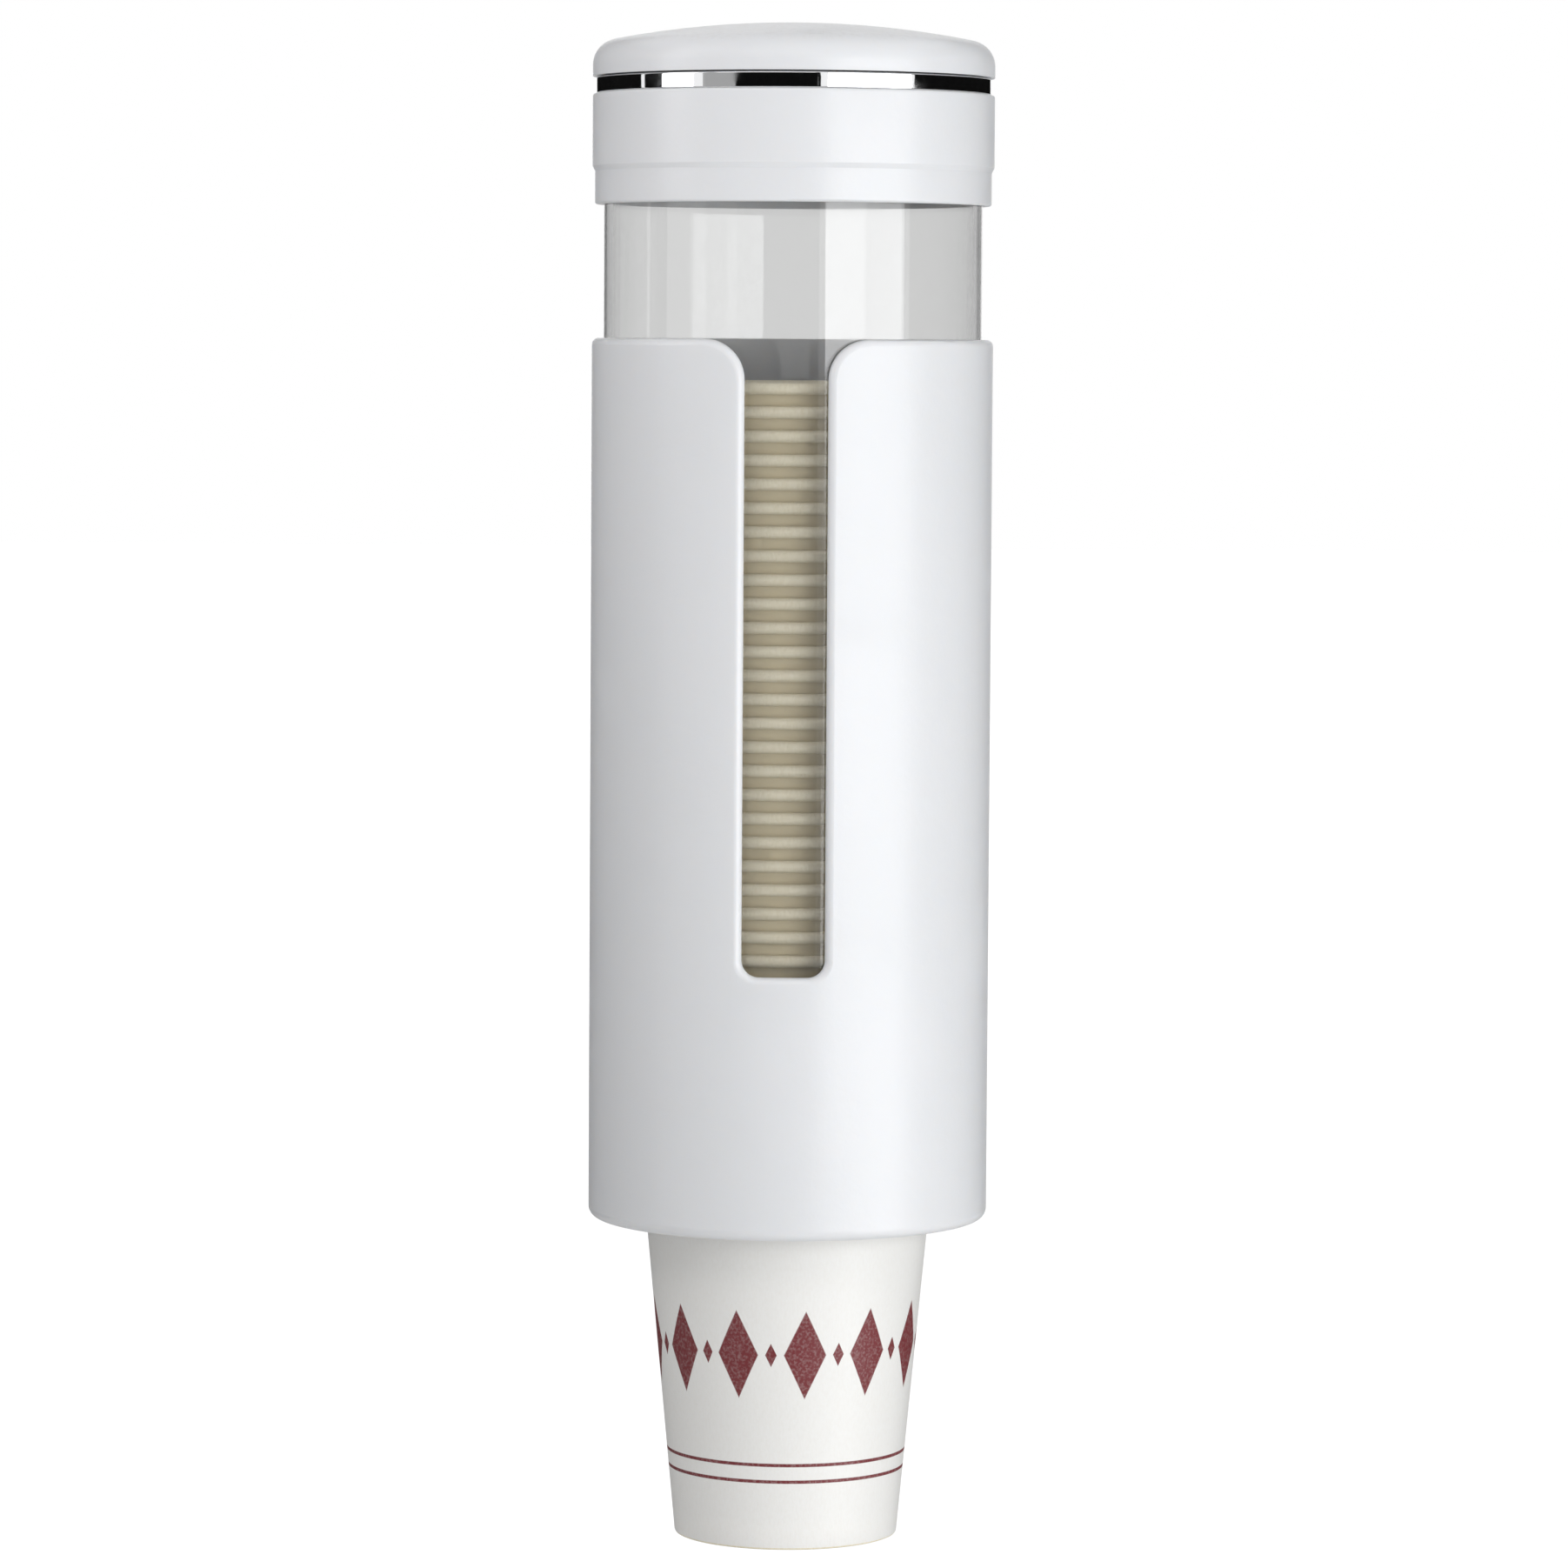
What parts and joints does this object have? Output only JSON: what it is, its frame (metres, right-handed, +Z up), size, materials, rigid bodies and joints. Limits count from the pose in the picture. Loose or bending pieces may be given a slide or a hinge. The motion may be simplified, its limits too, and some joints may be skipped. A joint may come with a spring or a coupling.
{
  "type": "cup dispenser",
  "caption": "Wall-mounted tube that holds nested paper cups, with a sight slot, a lift-off lid and a ring of flexible fingers that lets out one cup at a time.",
  "frame": {"origin": "centre of the foam pad's face that goes against the wall", "axes": "+Z up along the tube, +Y into the wall, so the front with the slot faces -Y and +X is to the right as one faces it"},
  "size_m": [0.095, 0.107, 0.3593],
  "materials": {
    "white_plastic": "moulded, glossy",
    "clear_plastic": "clear, polished",
    "chrome_plate": "bright plating on plastic",
    "inner_plastic": "moulded, satin",
    "bracket_plastic": "moulded, fine texture",
    "soft_seal": "soft, matt",
    "flexible_fingers": "soft, satin",
    "screw_steel": "zinc plated",
    "foam_tape": "closed-cell foam",
    "cup_paper": "thin coated paper"
  },
  "bodies": {
    "wall_mount": {"wall_bracket": "bracket_plastic", "adhesive_pad": "foam_tape"},
    "dispenser": {"outer_shell": "white_plastic", "hanger_plate": "bracket_plastic", "hanger_screws": "screw_steel", "finger_ring": "flexible_fingers", "guide_ring": "inner_plastic", "base_screws": "screw_steel"},
    "tube_assembly": {"clear_tube": "clear_plastic", "top_collar": "white_plastic", "chrome_ring": "chrome_plate"},
    "lid": {"lid_dome": "white_plastic", "lid_liner": "inner_plastic", "lid_seal": "soft_seal"},
    "lowest_cup": {"pull_cup": "cup_paper"},
    "cup_stack": {"stack_cup_01": "cup_paper", "stack_cup_02": "cup_paper", "stack_cup_03": "cup_paper", "stack_cup_04": "cup_paper", "stack_cup_05": "cup_paper", "stack_cup_06": "cup_paper", "stack_cup_07": "cup_paper", "stack_cup_08": "cup_paper", "stack_cup_09": "cup_paper", "stack_cup_10": "cup_paper", "stack_cup_11": "cup_paper", "stack_cup_12": "cup_paper", "stack_cup_13": "cup_paper", "stack_cup_14": "cup_paper", "stack_cup_15": "cup_paper", "stack_cup_16": "cup_paper", "stack_cup_17": "cup_paper", "stack_cup_18": "cup_paper", "stack_cup_19": "cup_paper", "stack_cup_20": "cup_paper", "stack_cup_21": "cup_paper", "stack_cup_22": "cup_paper", "stack_cup_23": "cup_paper", "stack_cup_24": "cup_paper", "stack_cup_25": "cup_paper", "stack_cup_26": "cup_paper", "stack_cup_27": "cup_paper", "stack_cup_28": "cup_paper", "stack_cup_29": "cup_paper", "stack_cup_30": "cup_paper", "stack_cup_31": "cup_paper", "stack_cup_32": "cup_paper", "stack_cup_33": "cup_paper", "stack_cup_34": "cup_paper"}
  },
  "joints": [
    {"name": "mount_lift", "type": "slide", "parent": "wall_mount", "child": "dispenser", "axis": [0, 0, 1], "range_m": [0, 0.085]},
    {"name": "tube_lift", "type": "slide", "parent": "dispenser", "child": "tube_assembly", "axis": [0, 0, 1], "range_m": [0, 0.2]},
    {"name": "lid_lift", "type": "slide", "parent": "tube_assembly", "child": "lid", "axis": [0, 0, 1], "range_m": [0, 0.04]},
    {"name": "cup_pull", "type": "slide", "parent": "dispenser", "child": "lowest_cup", "axis": [0, 0, -1], "range_m": [0, 0.09], "deforming": ["finger_ring"]},
    {"name": "stack_feed", "type": "slide", "parent": "dispenser", "child": "cup_stack", "axis": [0, 0, -1], "range_m": [0, 0.00555]}
  ],
  "couplings": [
    {"joint": "stack_feed", "follows": "cup_pull", "ratio": 0.061667}
  ]
}
